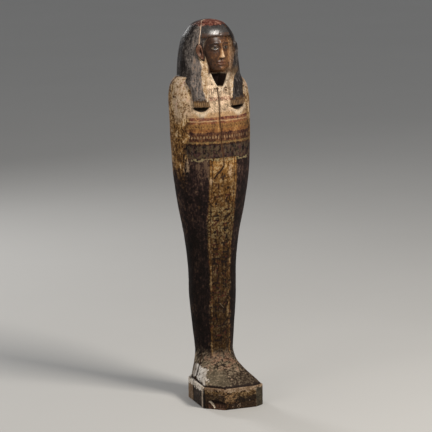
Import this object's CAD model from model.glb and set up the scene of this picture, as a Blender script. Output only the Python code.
# %% [markdown]
# # A painted wooden funerary statuette
#
# The real object is one block of wood, carved as a figure in a plain shroud with a long wig,
# coated with white gesso and painted.  It stands on a low pedestal cut from the same block.
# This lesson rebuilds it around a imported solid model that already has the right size.  The
# solid gives the box to stay in; the surface with its fine carving, cracks and paint is
# worked out here, as two closed skins: the figure, and the pedestal under it.

# %% Load the solid model
import bpy
import numpy as np
from mathutils import Matrix, Vector


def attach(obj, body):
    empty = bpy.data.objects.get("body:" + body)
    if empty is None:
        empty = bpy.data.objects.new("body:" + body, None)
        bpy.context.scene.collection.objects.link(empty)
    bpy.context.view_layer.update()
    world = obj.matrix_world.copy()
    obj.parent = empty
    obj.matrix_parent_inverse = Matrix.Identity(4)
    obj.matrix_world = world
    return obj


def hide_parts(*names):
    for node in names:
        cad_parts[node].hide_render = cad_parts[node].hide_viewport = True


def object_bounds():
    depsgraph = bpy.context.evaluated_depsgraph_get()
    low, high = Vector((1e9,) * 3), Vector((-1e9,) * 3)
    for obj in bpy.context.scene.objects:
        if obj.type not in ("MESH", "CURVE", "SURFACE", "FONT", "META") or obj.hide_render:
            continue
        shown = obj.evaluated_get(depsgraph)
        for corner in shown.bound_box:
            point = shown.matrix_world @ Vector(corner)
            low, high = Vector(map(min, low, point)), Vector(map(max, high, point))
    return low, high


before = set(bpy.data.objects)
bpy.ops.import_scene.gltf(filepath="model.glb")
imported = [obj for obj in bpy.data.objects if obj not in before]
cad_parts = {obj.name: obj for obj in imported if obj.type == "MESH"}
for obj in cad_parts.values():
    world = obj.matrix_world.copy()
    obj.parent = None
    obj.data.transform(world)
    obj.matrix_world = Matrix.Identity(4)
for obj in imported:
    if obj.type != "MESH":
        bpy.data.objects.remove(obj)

cad_low, cad_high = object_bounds()
MM = 0.001
HEIGHT = cad_high.z / MM
print("solid:", [round(v / MM, 1) for v in cad_low], "to", [round(v / MM, 1) for v in cad_high])

# %% [markdown]
# ## Camera
#
# The statuette is looked at from a little above, from the side of its right hand, through a
# long lens, so that upright lines stay nearly parallel.  A camera looks along its own -Z, and
# `to_track_quat` turns that axis towards the target.

# %% Camera
YAW = np.radians(-25)
DISTANCE, EYE = 3.6, 1.0
LENS = 189.5
ROLL = np.radians(-1.0)
AIM = 0.4902 * cad_high.z           # a little under half the height
SIDEWAYS = -0.0023

camera = bpy.data.objects.new("camera", bpy.data.cameras.new("camera"))
bpy.context.scene.collection.objects.link(camera)
bpy.context.scene.camera = camera
camera.data.lens = LENS
eye = Vector((np.sin(YAW) * DISTANCE, -np.cos(YAW) * DISTANCE, EYE))
target = Vector((np.cos(YAW) * SIDEWAYS, np.sin(YAW) * SIDEWAYS, AIM))
turned = (target - eye).to_track_quat("-Z", "Y").to_matrix().to_4x4()
camera.matrix_world = Matrix.Translation(eye) @ turned @ Matrix.Rotation(ROLL, 4, "Z")
print("camera looks down", round(np.degrees(np.arctan2(EYE - AIM, DISTANCE)), 1), "degrees")

# %% [markdown]
# ## Shader arithmetic
#
# A material is a graph of nodes, and maths in it needs a node for every plus and minus.  The
# class below wraps one socket, so that `1 - mask * 0.5` adds those nodes by itself.  Any
# other node comes from its one method `node`.

# %% A socket that can be calculated with
class Wire:
    """One output socket.  An expression on wires and numbers adds its Math nodes."""

    def __init__(self, socket):
        self.socket = socket
        self.tree = socket.id_data

    def node(self, kind, settings=(), values=(), output=0):
        """Any node: its type, its settings (a ramp's stops among them), its inputs."""
        made = self.tree.nodes.new(kind)
        for name, value in dict(settings).items():
            if name == "stops":
                while len(made.color_ramp.elements) < len(value):
                    made.color_ramp.elements.new(1.0)
                for element, (place, colour) in zip(made.color_ramp.elements, value):
                    element.position = place
                    element.color = (*colour, 1)
            elif name == "interpolation":
                made.color_ramp.interpolation = value
            else:
                setattr(made, name, value)
        for name, value in dict(values).items():
            if isinstance(value, Wire):
                self.tree.links.new(value.socket, made.inputs[name])
            else:
                made.inputs[name].default_value = value
        return Wire(made.outputs[output])

    def maths(self, operation, *values, clamp=False):
        settings = {"operation": operation, "use_clamp": clamp}
        return self.node("ShaderNodeMath", settings, enumerate(values))

    def __add__(self, other):
        return self.maths("ADD", self, other)

    def __sub__(self, other):
        return self.maths("SUBTRACT", self, other)

    def __mul__(self, other):
        return self.maths("MULTIPLY", self, other)

    def __truediv__(self, other):
        return self.maths("DIVIDE", self, other)

    def __rsub__(self, other):
        return self.maths("SUBTRACT", other, self)

    def __abs__(self):
        return self.maths("ABSOLUTE", self)

    __radd__ = __add__
    __rmul__ = __mul__

    def over(self, threshold, soft):
        """0 below the threshold and 1 above it, with a straight ramp that is `soft` wide."""
        return self.maths("MULTIPLY_ADD", self - threshold, 1 / soft, 0.5, clamp=True)

    def under(self, threshold, soft):
        """1 below the threshold and 0 above it."""
        return self.maths("SUBTRACT", 1, self.over(threshold, soft))

    def within(self, low, high, soft):
        """1 between two values."""
        return self.over(low, soft) * self.under(high, soft)

    def least(self, other):
        return self.maths("MINIMUM", self, other)

    def most(self, other):
        return self.maths("MAXIMUM", self, other)


def mix(factor, under, over):
    """Lay one colour over another: under * (1 - factor) + over * factor."""
    paint = {0: factor}
    for name, colour in ((6, under), (7, over)):
        paint[name] = colour if isinstance(colour, Wire) else (*colour, 1)
    return factor.node("ShaderNodeMix", {"data_type": "RGBA"}, paint, 2)


# %% Ways to read a surface
def coordinates(material):
    """The object coordinates of a material's surface, in metres."""
    return Wire(material.node_tree.nodes["Principled BSDF"].outputs[0]).node(
        "ShaderNodeTexCoord", output=3)


def stored(wire, name):
    """A value that the mesh carries at its points, in millimetres where it is a distance."""
    return wire.node("ShaderNodeAttribute", {"attribute_name": name}, output=2)


def cloud(place, size, stretch=1.0, detail=3.0, seed=0.0, rough=0.55):
    """Noise from 0 to 1 whose clouds are `size` mm wide and `stretch` times as tall."""
    scale = 1 / (size * MM)
    mapped = place.node("ShaderNodeMapping", {}, {
        "Vector": place, "Location": (seed, seed * 1.7, seed * 2.3),
        "Scale": (scale, scale, scale / stretch)})
    return place.node("ShaderNodeTexNoise", {}, {
        "Vector": mapped, "Scale": 1.0, "Detail": detail, "Roughness": rough})


def cells(place, size, stretch=1.0, seed=0.0):
    """Distance to the nearest crack of an irregular net, as a share of its cell size."""
    scale = 1 / (size * MM)
    mapped = place.node("ShaderNodeMapping", {}, {
        "Vector": place, "Location": (seed, seed, seed),
        "Scale": (scale, scale, scale / stretch)})
    return place.node("ShaderNodeTexVoronoi", {"feature": "DISTANCE_TO_EDGE"}, {
        "Vector": mapped, "Scale": 1.0})


def new_material(name):
    """A material whose Principled shader is ready to be fed."""
    material = bpy.data.materials.new(name)
    material.use_nodes = True
    return material, material.node_tree.nodes["Principled BSDF"]


def feed(shader, name, value):
    """Link a wire into one of the shader's sockets."""
    shader.id_data.links.new(value.socket, shader.inputs[name])


# %% [markdown]
# ## Floor and light
#
# A plain pale floor and a few large soft lamps.  A big lamp near the object gives soft edges
# to the shadows.  The main lamp hangs in front of the figure's left shoulder, a weak one fills
# in from its right, and a small weak one stands behind, so that the back isn't black.

# %% Floor
FLOOR = 15.0
floor_mesh = bpy.data.meshes.new("floor")
floor_corners = FLOOR * np.array([(-1, -1, 0), (1, -1, 0), (1, 1, 0), (-1, 1, 0)])
floor_mesh.from_pydata(floor_corners, [], [(0, 1, 2, 3)])
floor = bpy.data.objects.new("floor", floor_mesh)
bpy.context.scene.collection.objects.link(floor)

floor_paint, floor_shader = new_material("pale floor")
ground = coordinates(floor_paint)
feed(floor_shader, "Base Color", mix(cloud(ground, 400.0), (0.53, 0.52, 0.50), (0.56, 0.55, 0.53)))
floor_shader.inputs["Roughness"].default_value = 0.7
floor_mesh.materials.append(floor_paint)


# %% Lamps
def lamp(name, azimuth, elevation, distance, size, power, colour):
    """A square area lamp, turned to the middle of the figure.  Azimuth 0 is in front."""
    a, e = np.radians(azimuth), np.radians(elevation)
    data = bpy.data.lights.new(name, "AREA")
    data.shape = "SQUARE"
    data.size = size
    data.energy = power
    data.color = colour
    made = bpy.data.objects.new(name, data)
    away = Vector((np.sin(a) * np.cos(e), -np.cos(a) * np.cos(e), np.sin(e)))
    made.location = Vector((0, 0, HEIGHT * MM / 2)) + away * distance
    made.rotation_euler = (-away).to_track_quat("-Z", "Y").to_euler()
    bpy.context.scene.collection.objects.link(made)


lamp("main lamp", 28, 44, 2.0, 0.55, 39, (1.0, 0.95, 0.88))
lamp("fill lamp", -70, 18, 2.6, 1.2, 12, (1.0, 0.93, 0.84))
lamp("edge lamp", -172, 24, 2.0, 0.35, 10, (1.0, 1.0, 1.0))
world = bpy.data.worlds.new("room")
world.use_nodes = True
world.node_tree.nodes["Background"].inputs["Color"].default_value = (0.9, 0.92, 0.95, 1)
world.node_tree.nodes["Background"].inputs["Strength"].default_value = 0.27
bpy.context.scene.world = world
bpy.context.scene.view_settings.view_transform = "Standard"

# %% [markdown]
# ## The form as formulas
#
# The figure is a stack of rings around an upright axis.  A ring's radius is a formula in two
# parameters, the turn round the axis (0 at the front, positive to the figure's left) and the
# height.  Tables hold a few stations of half width, front depth and back depth, and a cubic
# curve runs through them.  All sizes are millimetres until a mesh is made.

# %% Curves through stations
def smooth(table, height):
    """Columns of a table at any height: cubic Hermite curves through its stations."""
    table = np.asarray(table, float)
    at = table[:, 0]
    slope = np.gradient(table[:, 1:], at, axis=0)
    i = np.clip(np.searchsorted(at, height) - 1, 0, len(at) - 2)
    span = (at[i + 1] - at[i])[..., None]
    t = np.clip((height[..., None] - at[i][..., None]) / span, 0, 1)
    start, end = table[i, 1:], table[i + 1, 1:]
    value = (start * (1 + 2 * t) * (1 - t) ** 2 + end * t ** 2 * (3 - 2 * t)
             + slope[i] * span * t * (1 - t) ** 2 - slope[i + 1] * span * t ** 2 * (1 - t))
    return np.moveaxis(value, -1, 0)


def ramp(value, low, high):
    """0 at low and 1 at high, by t*t*(3 - 2t)."""
    t = np.clip((value - low) / (high - low), 0, 1)
    return t * t * (3 - 2 * t)


def hill(x, width, z=0.0, tall=1.0):
    """A soft hill: exp(-(x/width)^2 - (z/tall)^2)."""
    return np.exp(-(x / width) ** 2 - (z / tall) ** 2)


def oval(turn, half, front, back):
    """Radius of a section: |sin/half|^n + |cos/depth|^n = radius^-n, with n 2.2 or 2.4."""
    ahead = np.cos(turn) > 0
    depth = np.where(ahead, front, back)
    n = np.where(ahead, 2.2, 2.4)
    return (np.abs(np.sin(turn) / half) ** n + np.abs(np.cos(turn) / depth) ** n) ** (-1 / n)


# %% Uneven carving
LATTICE_SIZE = 32
LATTICE = np.random.default_rng(11).random((LATTICE_SIZE,) * 3) * 2 - 1


def uneven(points, size, seed=0):
    """Smooth noise, -1 to 1: random numbers on a lattice, blended between its corners."""
    at = points / size + 5.3 * seed
    cell = np.floor(at).astype(int)
    t = at - cell
    t = t * t * (3 - 2 * t)
    total = 0
    for corner in np.ndindex(2, 2, 2):
        weight = np.prod(np.where(corner, t, 1 - t), axis=-1)
        i, j, k = np.moveaxis((cell + corner) % LATTICE_SIZE, -1, 0)
        total = total + weight * LATTICE[i, j, k]
    return total


# %% Stations of the body and the wig
AXIS_BACK = 25.0            # how far the figure's axis stands behind the pedestal's middle
PLINTH_HEIGHT = 35.0
BODY = [
    (20, 31.0, 33.0, 17.0), (80, 31.5, 33.0, 18.0), (120, 35.0, 33.0, 22.5),
    (170, 39.2, 33.5, 27.0), (220, 40.0, 34.0, 29.0), (270, 46.0, 36.5, 29.0),
    (320, 56.2, 44.5, 27.0), (370, 63.5, 52.5, 26.0), (420, 66.8, 52.5, 27.5),
    (470, 68.2, 47.5, 31.0), (493, 68.8, 42.0, 33.0), (506, 67.8, 37.5, 34.0),
    (512, 66.6, 36.5, 34.0), (518, 64.6, 35.5, 34.0), (522, 62.3, 34.5, 34.0),
    (525, 59.8, 33.5, 33.0), (528, 56.0, 31.0, 31.5), (532, 46.0, 28.0, 27.0)]
WIG = [
    (470, 71.0, 51.5, 35.0), (485, 71.0, 48.5, 36.5), (503, 69.0, 43.0, 37.5),
    (516, 62.0, 41.0, 37.5), (526, 55.5, 39.5, 37.0), (533, 52.6, 38.3, 36.5),
    (540, 52.2, 37.0, 36.5), (552, 51.2, 35.0, 36.3), (564, 49.6, 33.0, 36.0),
    (577, 47.4, 31.5, 34.5), (590, 44.0, 32.0, 31.5), (596, 41.4, 33.5, 29.5),
    (603, 37.0, 31.0, 26.5), (609, 32.5, 27.0, 22.5), (613, 28.6, 23.0, 19.0),
    (616.3, 23.5, 18.5, 15.0), (619, 15.5, 12.5, 10.0), (620.6, 7.5, 6.0, 4.5)]
EDGES = [
    (20, 10, 26, 26), (300, 17, 40, 34), (440, 19, 44, 38), (485, 19.5, 45, 38),
    (505, 20.5, 46, 38), (529, 20.5, 49, 36), (545, 22, 47.5, 35), (557, 25.5, 46.5, 34),
    (568, 28, 45.5, 33), (579, 28, 43.5, 31), (588, 25.5, 40, 29), (594, 21.5, 37, 26),
    (600, 19.5, 33, 23), (611, 14, 24, 15), (620.6, 4, 6.2, 3.4)]
FACE = [
    (532.0, 4.0, 12.0, 12.0), (535.0, 7.5, 20.0, 16.0), (537.5, 10.0, 26.5, 20.0),
    (539.0, 12.0, 30.0, 20.0), (540.5, 15.5, 33.5, 20.0), (543, 19.0, 36.5, 20.0),
    (547, 22.5, 37.4, 20.0), (552, 25.0, 37.2, 20.0), (558, 27.0, 36.8, 20.0),
    (565, 28.8, 36.4, 20.0), (572, 30.0, 35.8, 20.0), (579, 30.5, 35.3, 20.0),
    (586, 30.0, 34.6, 20.0), (595, 29.0, 31.5, 20.0)]
COLLAR = [
    (500, 66, 39.5, 30), (510, 62, 37.0, 30), (530, 55, 33.5, 30), (545, 50, 31, 29),
    (560, 45, 27.5, 28), (575, 40, 24.0, 26), (600, 34, 20.0, 20)]
WIG_LOW, WIG_TOP, CROWN = 470.0, 620.6, HEIGHT
LAPPET_END, BACK_END, FRINGE = 485.0, 492.0, 595.0
SHOULDER_START, SHOULDER_LINE, SHOULDER_END = 513.0, 525.0, 534.0
print("the wig runs from", LAPPET_END, "to", round(CROWN, 1), "mm")

# %% [markdown]
# ## Pedestal outline
#
# The pedestal is a block with cut corners, seen from above as a polygon.  The feet spread out
# to follow the same polygon a little inside it, so its distance from the axis is needed as a
# formula too: of all the sides, the one that is met first.

# %% Pedestal outline and the body above it
PLINTH = np.array([(30, 73), (45.5, 65.5), (47.5, 39.5), (45, -33), (23, -57),
                   (-22, -57), (-43, -33), (-50.5, 41.5), (-25, 69)], float)
FOOT_INSET, TOE_INSET, FOOT_TOP, FOOT_HOLLOW, FOOT_FULL = 5.0, 2.5, 84.0, 1.65, 1.2
SHOULDER_TILT = 3.0
SOLE = PLINTH_HEIGHT - 2.0          # the figure's skin starts a little inside the pedestal


def outline_radius(turn, inset):
    """Distance from the axis to the polygon moved in by `inset`."""
    radius = np.full_like(turn, 1000.0)
    corners = PLINTH + (0, AXIS_BACK)
    for corner, following in zip(corners, np.roll(corners, -1, axis=0)):
        along = following - corner
        normal = np.array((-along[1], along[0])) / np.hypot(*along)
        facing = np.maximum(normal[0] * np.sin(turn) + normal[1] * np.cos(turn), 1e-6)
        radius = np.minimum(radius, (normal @ corner - inset) / facing)
    return radius


def body_radius(turn, height):
    """The shroud: an oval, blended into the pedestal's outline by (1 - rise^full)^hollow."""
    tilted = height + SHOULDER_TILT * np.sin(turn) * ramp(height, 440, 500)
    radius = oval(turn, *smooth(BODY, tilted))
    rise = np.clip((height - PLINTH_HEIGHT) / (FOOT_TOP - PLINTH_HEIGHT), 0, 1)
    inset = FOOT_INSET + (TOE_INSET - FOOT_INSET) * np.clip(np.cos(turn), 0, 1)
    spread = (1 - rise ** FOOT_FULL) ** FOOT_HOLLOW
    return radius + (outline_radius(turn, inset) - radius) * spread


def wig_radius(turn, height):
    """The wig as a whole, before its opening and its ends."""
    return oval(turn, *smooth(WIG, np.clip(height, WIG_LOW, WIG_TOP)))


# %% [markdown]
# ## A grid that follows the carving
#
# A regular grid would cut the wig's edges into stairs.  Here the columns are spread between
# three edges that wander with the height: the opening for the face, the outer edge of the
# hanging lappet, and the side of the hair down the back.  At each edge a few columns lie
# close together and carry the small rounded wall.  Near the feet the second edge follows a
# drying crack instead.

# %% Where the edges lie
CRACK_FORWARD = -8.0        # the crack lies in an upright plane, this far forward of middle
WALL = 0.013                # half the turn that a wall at an edge takes


def edge_turns(height):
    """Turns of the three edges: arcsin(half width / radius), found by repetition."""
    turns = []
    for width, behind in zip(smooth(EDGES, height), (False, False, True)):
        turn = np.full_like(height, 2.3 if behind else 0.6)
        for _ in range(12):
            turn = np.arcsin(np.clip(width / wig_radius(turn, height), 0, 0.995))
            turn = np.pi - turn if behind else turn
        turns.append(turn)
    crack = np.full_like(height, 1.1)
    for _ in range(12):
        crack = np.arccos(np.clip((AXIS_BACK + CRACK_FORWARD) / body_radius(-crack, height), 0, 1))
    turns[1] = crack + (turns[1] - crack) * ramp(height, 110, 190)
    turns[2] = np.maximum(turns[2], turns[1] + 0.3)
    return turns


# %% Columns and rows
FACE_STEPS, LAPPET_STEPS, SIDE_STEPS, BACK_STEPS, WALL_STEPS = 50, 28, 32, 26, 4


def grid(height):
    """Turn of each column at each height, and how much each column belongs to each of the
    four zones: face and chest, lappet, side, back."""
    stops = edge_turns(height)
    lows = [np.zeros_like(height)] + [turn + WALL for turn in stops]
    highs = [turn - WALL for turn in stops] + [np.full_like(height, np.pi)]
    turns, share = [], []
    for zone, steps in enumerate((FACE_STEPS, LAPPET_STEPS, SIDE_STEPS, BACK_STEPS)):
        for k in range(steps + 1):
            turns.append(lows[zone] + (highs[zone] - lows[zone]) * k / steps)
            share.append(np.eye(4)[zone])
        if zone < 3:
            for t in np.arange(1, WALL_STEPS) / WALL_STEPS:
                turns.append(stops[zone] + WALL * (2 * t - 1))
                over = t * t * (3 - 2 * t)
                share.append(np.eye(4)[zone] * (1 - over) + np.eye(4)[zone + 1] * over)
    left, share = np.stack(turns, 1), np.array(share)
    return np.hstack([left, -left[:, -2:0:-1]]), np.vstack([share, share[-2:0:-1]])


def rows(*stretches):
    """Heights from (start, end, spacing) stretches that follow on one another."""
    parts = [np.linspace(a, b, max(int(round((b - a) / step)), 1), endpoint=False)
             for a, b, step in stretches]
    return np.concatenate(parts + [[stretches[-1][1]]])


LEDGE = 0.7                 # half the height of a rounded ledge at an end of the wig
heights = rows(
    (SOLE, 62, 1.5), (62, 90, 2.2), (90, 150, 4.6), (150, 168, 1.2),
    (168, 330, 4.6), (330, 368, 3.0), (368, 392, 1.0), (392, 425, 3.0), (425, 468, 2.2),
    (468, LAPPET_END - LEDGE, 1.2), (LAPPET_END - LEDGE, LAPPET_END + LEDGE, 0.35),
    (LAPPET_END + LEDGE, BACK_END - LEDGE, 1.2), (BACK_END - LEDGE, BACK_END + LEDGE, 0.35),
    (BACK_END + LEDGE, 530, 1.45), (530, FRINGE - LEDGE, 0.72),
    (FRINGE - LEDGE, FRINGE + LEDGE, 0.35), (FRINGE + LEDGE, 612, 1.1), (612, WIG_TOP, 0.75))
column_turn, share = grid(heights)
height = np.broadcast_to(heights[:, None], column_turn.shape)
edge_opening, edge_lappet, edge_back = (t[:, None] for t in edge_turns(heights))
print("grid:", height.shape, "->", 2 * height.size, "triangles")

# %% Turn of the head
HEAD_TURN = np.radians(12)
HEAD_LOW, HEAD_FULL = 515.0, 560.0


def head_twist(turn, height):
    """How far a column is turned with the head: all of it in front, nothing behind."""
    return HEAD_TURN * ramp(height, HEAD_LOW, HEAD_FULL) * np.cos(turn / 2) ** 2


turn = column_turn + head_twist(column_turn, height)

# %% [markdown]
# ## The face
#
# The face is a plain, calm one.  It is about as far from the brow to the base of the nose as
# from there to the chin, the eyes stand a little less than an eye's width apart, and the mouth
# lies about a third of the way from the nose to the chin.  Each form is a soft hill or hollow
# added to an oval, so nothing has an edge that a carver's knife would not leave.

# %% Eyes, brows and lips as distances
FACE_TURN = HEAD_TURN       # the face looks straight out of the head
EYE_SIDE, EYE_HEIGHT, EYE_HALF, EYE_OPEN = 11.0, 577.3, 6.2, 2.5
BROW_HEIGHT, NOSE_BASE, MOUTH = 585.0, 561.5, 553.6
CHIN_MIDDLE = 543.8
LIP_HALF, LIP_FULL = 9.0, 3.6


def eye_gap(across, height):
    """Millimetres inside the eye: open * (1 - ((|x| - side) / half)^2) - |z - middle|."""
    out = np.abs(across) - EYE_SIDE
    return EYE_OPEN * (1 - (out / EYE_HALF) ** 2) - np.abs(height - EYE_HEIGHT - 0.06 * out)


def brow_gap(across, height):
    """Millimetres inside the brow: a bent band about 2 mm tall."""
    out = np.abs(across)
    past = np.maximum(np.maximum(4.0 - out, out - 18.5), 0)
    return 1.0 - np.hypot(past, height - BROW_HEIGHT + 0.03 * (out - 9) ** 2)


def lip_gap(across, height):
    """Millimetres inside the lips: full * (1 - (x / half)^2) - |z - mouth|."""
    return LIP_FULL * (1 - (across / LIP_HALF) ** 2) - np.abs(height - MOUTH)


# %% Relief of the face
def face_relief(across, height):
    """Sum of hills and hollows, in mm, over the place across and the height."""
    a, z = np.abs(across), height
    run = np.clip((BROW_HEIGHT + 2 - z) / (BROW_HEIGHT + 2 - NOSE_BASE), 0, 1)
    nose = (0.9 + 4.9 * run ** 1.2) * hill(a, 2.0 + 1.7 * run)
    nose = nose * ramp(z, NOSE_BASE - 1.2, NOSE_BASE + 1.6) * ramp(z, 592, 584)
    nose = nose + 1.5 * hill(a - 4.0, 1.7, z - NOSE_BASE - 1.8, 2.0)
    nose = nose + 0.6 * hill(a, 2.6, z - NOSE_BASE - 2.4, 2.2)
    nose = nose - 1.1 * hill(a - 2.3, 1.0, z - NOSE_BASE + 0.4, 0.8)

    eye = eye_gap(across, z)
    near = hill(a - EYE_SIDE, 8.5)
    sockets = -2.3 * hill(a - EYE_SIDE + 0.5, 7.5, z - EYE_HEIGHT - 0.8, 4.6)
    ball = 1.9 * np.clip(1 - ((a - EYE_SIDE) / 7.5) ** 2 - ((z - EYE_HEIGHT) / 5.0) ** 2, 0, 1)
    lids = 0.6 * np.exp(-((eye + 0.5) / 0.6) ** 2) * near - 0.25 * ramp(eye, -0.2, 0.5)
    crease = -0.35 * np.exp(-((eye + 1.9) / 0.5) ** 2) * near * (z > EYE_HEIGHT)
    brows = 0.8 * ramp(brow_gap(across, z), -1.2, 0.8)

    width = np.sqrt(np.clip(1 - (a / LIP_HALF) ** 2, 0, 1))
    bow = 0.6 * hill(a - 2.4, 1.6) - 0.4 * hill(a, 1.2)
    lips = 1.5 * np.exp(-((z - MOUTH - 1.9 - bow) / 1.3) ** 2) * width
    lips = lips + 1.7 * np.exp(-((z - MOUTH + 2.1) / 1.55) ** 2) * width ** 1.5
    lips = lips - 0.8 * np.exp(-((z - MOUTH - 0.006 * a ** 2) / 0.5) ** 2) * width ** 0.5
    lips = lips - 0.6 * hill(a - 9.3, 1.2, z - MOUTH - 0.4, 1.3)
    lips = lips - 0.35 * hill(a, 1.1, z - MOUTH - 4.8, 1.9)

    chin = 1.5 * hill(a, 6.5, z - CHIN_MIDDLE, 3.4) - 0.6 * hill(a, 6.0, z - 548.6, 1.3)
    cheeks = 1.0 * hill(a - 15.5, 6.5, z - 565, 8.0)
    return nose + sockets + ball + lids + crease + brows + lips + chin + cheeks


def face_radius(turn, height):
    """An oval with the relief on it."""
    radius = oval(turn, *smooth(FACE, np.clip(height, FACE[0][0], FRINGE)))
    return radius + face_relief(radius * np.sin(turn), height) * ramp(height, 536, 541)


# %% Collar and the hollow under the chin
NECK_RADIUS = 21.0
NECK_START, NECK_END, COLLAR_ONLY = 499.0, 510.0, 520.0     # where chest gives way to collar
PIT_SLOPE, PIT_FOOT = 2.5, 5.0
PIT_LOW, PIT_HIGH, PIT_HALF, PIT_MIDDLE, PIT_SPREAD = 513.0, 541.0, 16.5, 6.0, 0.6


def pit_gap(across, height):
    """Millimetres inside the hollow: half * rise^spread - |x - middle|, round at its foot."""
    rise = np.clip((height - PIT_LOW) / (PIT_HIGH - PIT_LOW), 0, 1)
    return PIT_HALF * rise ** PIT_SPREAD - np.abs(across - PIT_MIDDLE)


def front_radius(turn, height):
    """Within the wig's opening: the chest, then collar and neck, and over them the face."""
    chest = body_radius(turn, height)
    collar = oval(turn, *smooth(COLLAR, np.maximum(height, 500)))
    hollow = ramp(pit_gap(collar * np.sin(turn), height), -PIT_SLOPE, PIT_SLOPE)
    hollow = hollow * ramp(height, PIT_LOW, PIT_LOW + PIT_FOOT)
    neck = np.minimum(collar, chest) * (1 - hollow) + NECK_RADIUS * hollow
    skin = chest + (neck - chest) * ramp(height, NECK_START, NECK_END)
    skin = np.where(height > COLLAR_ONLY, collar * (1 - hollow) + NECK_RADIUS * hollow, skin)
    face = face_radius(turn - FACE_TURN, height)
    return np.where(height > FACE[0][0], np.maximum(skin, face), skin)


# %% [markdown]
# ## Ears, hollows and cracks
#
# An ear is an oval shell with a raised rim, a bowl and a lobe, laid on the wig just outside
# the opening.  Under each lappet's end the carver scooped the chest away, which gives the dark
# slit there.  Old wood shrinks and splits along its grain: one crack runs down the chest, a
# second leaves it slantwise, and a third runs up the heel.

# %% Ears
EAR_MIDDLE, EAR_HALF, EAR_OUT, EAR_WIDE = 572.0, 12.8, 4.7, 4.5
EAR_RADIUS = 38.0


def ear_reach(beside, height):
    """0 at the middle of the ear and 1 at its rim: an upright oval that leans back."""
    up = (height - EAR_MIDDLE) / EAR_HALF
    out = (beside - EAR_OUT - 1.2 * up) / (EAR_WIDE * (1 + 0.18 * up))
    return np.hypot(out, up), out, up


def ear_relief(beside, height):
    """Shell, rim, bowl and lobe of the ear, in mm."""
    reach, out, up = ear_reach(beside, height)
    shell = 3.3 * ramp(reach, 1.1, 0.82)
    rim = 1.1 * np.exp(-((reach - 0.8) / 0.15) ** 2) * ramp(up, -0.75, -0.35)
    bowl = -2.3 * hill(out + 0.2, 0.42, up - 0.02, 0.42)
    fold = 0.7 * hill(out - 0.15, 0.16, up - 0.35, 0.3)
    lobe = 0.8 * hill(out + 0.1, 0.5, up + 0.74, 0.22)
    return shell + rim + bowl + fold + lobe


# %% Scooped hollow under the lappets
POCKET_SIDE, POCKET_HALF, POCKET_DROP = 32.5, 14.0, 11.0
POCKET_DEPTH, POCKET_RIM = 5.0, 0.9


def pocket(across, height):
    """Rim and hollow: deepest against the lappet's end, with a low rim under it."""
    side = np.clip(1 - ((np.abs(across) - POCKET_SIDE) / POCKET_HALF) ** 2, 0, 1)
    drop = (LAPPET_END - height) / (POCKET_DROP * (0.3 + 0.7 * side))
    bowl = np.cos(np.clip(drop, 0, 1) * np.pi / 2) ** 2
    hollow = np.where((drop > -0.1) & (drop < 1), bowl, 0)
    return side * np.exp(-((drop - 1.1) / 0.35) ** 2), side * hollow


# %% Cracks
def line_gap(x, z, path):
    """Distance from a path of straight pieces."""
    best = np.full_like(x, 1e3)
    for (x0, z0), (x1, z1) in zip(path, path[1:]):
        t = np.clip(((x - x0) * (x1 - x0) + (z - z0) * (z1 - z0))
                    / ((x1 - x0) ** 2 + (z1 - z0) ** 2), 0, 1)
        best = np.minimum(best, np.hypot(x - x0 - t * (x1 - x0), z - z0 - t * (z1 - z0)))
    return best


CHEST_CRACK = [(-1.5, 514), (-0.8, 500), (-2.2, 482), (-4.0, 464), (-2.6, 446), (-3.4, 430),
               (-1.6, 414), (0.2, 400), (0.6, 392)]
SLANT_CRACK = [(-1.0, 389), (-5.0, 383.5), (-10.5, 378.5), (-16.7, 371)]


def crack_gap(points, turn, arc):
    """Distance to the nearest crack, with a little trembling in it."""
    tremble = 0.5 * uneven(points, 6.0, seed=3)
    height = points[..., 2]
    gap = line_gap(arc + tremble, height, CHEST_CRACK)
    gap = np.minimum(gap, line_gap(arc, height + tremble, SLANT_CRACK) - 0.15)
    heel = np.abs(-points[..., 1] - CRACK_FORWARD) + 0.12 * np.maximum(height - 58, 0)
    return np.minimum(gap, np.where(turn < 0, heel + tremble - 0.8, 1e3))


# %% [markdown]
# ## The figure's skin
#
# Now each column takes the surface of its own zone, and the wall columns a share of two.  The
# result is roughened a little, always inwards, so that the figure stays inside its solid.

# %% Radius of every point
LAPPET_PROUD = 3.5          # the lappets stand out this far from the shoulders at least


def ledge(height, end):
    """0 below an end of the wig and 1 above it, over a small rounded step."""
    return ramp(height, end - LEDGE, end + LEDGE)


body = body_radius(turn, height)
wig = wig_radius(turn, height)
inner = np.where(height < SHOULDER_END, body, 0)
proud = LAPPET_PROUD * ramp(height, SHOULDER_END, SHOULDER_LINE)
beside_opening = (np.abs(column_turn) - edge_opening) * EAR_RADIUS

front = front_radius(turn, height)
front = front + (wig - front) * ledge(height, FRINGE)
pocket_rim, pocket_hollow = pocket(body * np.sin(turn), height)
pocket_rim, pocket_hollow = pocket_rim * (np.cos(turn) > 0), pocket_hollow * (np.cos(turn) > 0)
scooped = body + POCKET_RIM * pocket_rim - POCKET_DEPTH * pocket_hollow
ear = ear_relief(beside_opening, height) * np.where(column_turn > 0, 0.7, 1.0)
lappet = np.maximum(wig, inner + proud) + ear
lappet = scooped + (lappet - scooped) * ledge(height, LAPPET_END)
side = inner + np.maximum(wig - inner, 0) * ramp(height, SHOULDER_START, SHOULDER_LINE)
back = body + (wig - body) * ledge(height, BACK_END)
radius = np.einsum("zrc,cz->rc", np.stack([front, lappet, side, back]), share)


def place(radius):
    """Points of the rings: (r sin t, axis - r cos t, height)."""
    return np.stack([radius * np.sin(turn), AXIS_BACK - radius * np.cos(turn), height], -1)


points = place(radius)
print("figure before wear: widest", round(np.ptp(points[..., 0]), 1), "mm")

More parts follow.
